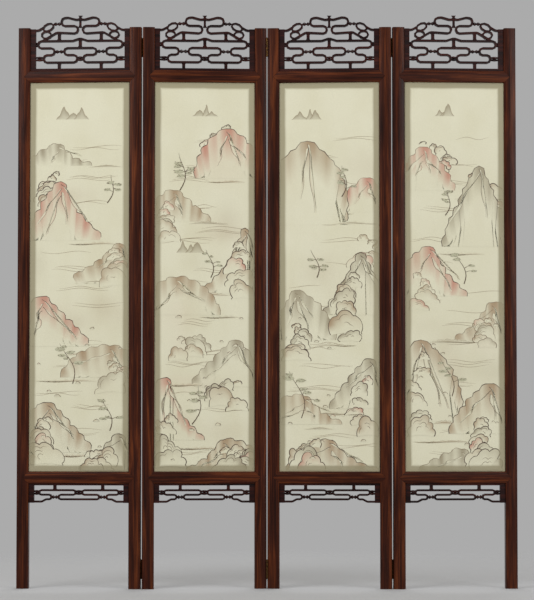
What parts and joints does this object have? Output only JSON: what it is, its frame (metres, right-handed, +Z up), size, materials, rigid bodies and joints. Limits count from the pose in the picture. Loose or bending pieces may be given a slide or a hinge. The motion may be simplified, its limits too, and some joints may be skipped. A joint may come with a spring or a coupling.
{
  "type": "folding screen",
  "caption": "Folding screen of hinged hardwood leaves with painted silk panels, pierced fretwork crests and aprons, and tall legs.",
  "frame": {"origin": "on the floor, under the middle of the opened screen's bounding box", "axes": "+Z up; +X to the right seen from the front; the painted front faces -Y"},
  "size_m": [1.6018, 0.0566, 1.84],
  "materials": {
    "hardwood": "waxed dark reddish hardwood",
    "fretwork": "waxed, very dark hardwood",
    "strainer_wood": "plain softwood",
    "silk": "plain-woven silk with a painted landscape",
    "lining": "plain cloth",
    "brass": "aged brass"
  },
  "bodies": {
    "leaf_1": {"leaf_1_apron": "fretwork", "leaf_1_crest": "fretwork", "leaf_1_left_post": "hardwood", "leaf_1_lining": "lining", "leaf_1_lower_rail": "hardwood", "leaf_1_right_post": "hardwood", "leaf_1_silk": "silk", "leaf_1_strainer": "strainer_wood", "leaf_1_upper_rail": "hardwood", "hinge_1_lower_left_leaf": "brass", "hinge_1_lower_pin": "brass", "hinge_1_upper_left_leaf": "brass", "hinge_1_upper_pin": "brass"},
    "leaf_2": {"leaf_2_apron": "fretwork", "leaf_2_crest": "fretwork", "leaf_2_left_post": "hardwood", "leaf_2_lining": "lining", "leaf_2_lower_rail": "hardwood", "leaf_2_right_post": "hardwood", "leaf_2_silk": "silk", "leaf_2_strainer": "strainer_wood", "leaf_2_upper_rail": "hardwood", "hinge_2_lower_left_leaf": "brass", "hinge_2_lower_pin": "brass", "hinge_2_upper_left_leaf": "brass", "hinge_2_upper_pin": "brass", "hinge_1_lower_right_leaf": "brass", "hinge_1_upper_right_leaf": "brass"},
    "leaf_3": {"leaf_3_apron": "fretwork", "leaf_3_crest": "fretwork", "leaf_3_left_post": "hardwood", "leaf_3_lining": "lining", "leaf_3_lower_rail": "hardwood", "leaf_3_right_post": "hardwood", "leaf_3_silk": "silk", "leaf_3_strainer": "strainer_wood", "leaf_3_upper_rail": "hardwood", "hinge_3_lower_left_leaf": "brass", "hinge_3_lower_pin": "brass", "hinge_3_upper_left_leaf": "brass", "hinge_3_upper_pin": "brass", "hinge_2_lower_right_leaf": "brass", "hinge_2_upper_right_leaf": "brass"},
    "leaf_4": {"leaf_4_apron": "fretwork", "leaf_4_crest": "fretwork", "leaf_4_left_post": "hardwood", "leaf_4_lining": "lining", "leaf_4_lower_rail": "hardwood", "leaf_4_right_post": "hardwood", "leaf_4_silk": "silk", "leaf_4_strainer": "strainer_wood", "leaf_4_upper_rail": "hardwood", "hinge_3_lower_right_leaf": "brass", "hinge_3_upper_right_leaf": "brass"}
  },
  "joints": [
    {"name": "fold_1", "type": "hinge", "parent": "leaf_1", "child": "leaf_2", "pos_m": [-0.40111, 0.00337, 0.9], "axis": [0, 0, 1], "range_deg": [-8, 172]},
    {"name": "fold_2", "type": "hinge", "parent": "leaf_2", "child": "leaf_3", "pos_m": [0, -0.00426, 0.9], "axis": [0, 0, -1], "range_deg": [-8, 172]},
    {"name": "fold_3", "type": "hinge", "parent": "leaf_3", "child": "leaf_4", "pos_m": [0.40111, 0.00337, 0.9], "axis": [0, 0, 1], "range_deg": [-8, 172]}
  ]
}
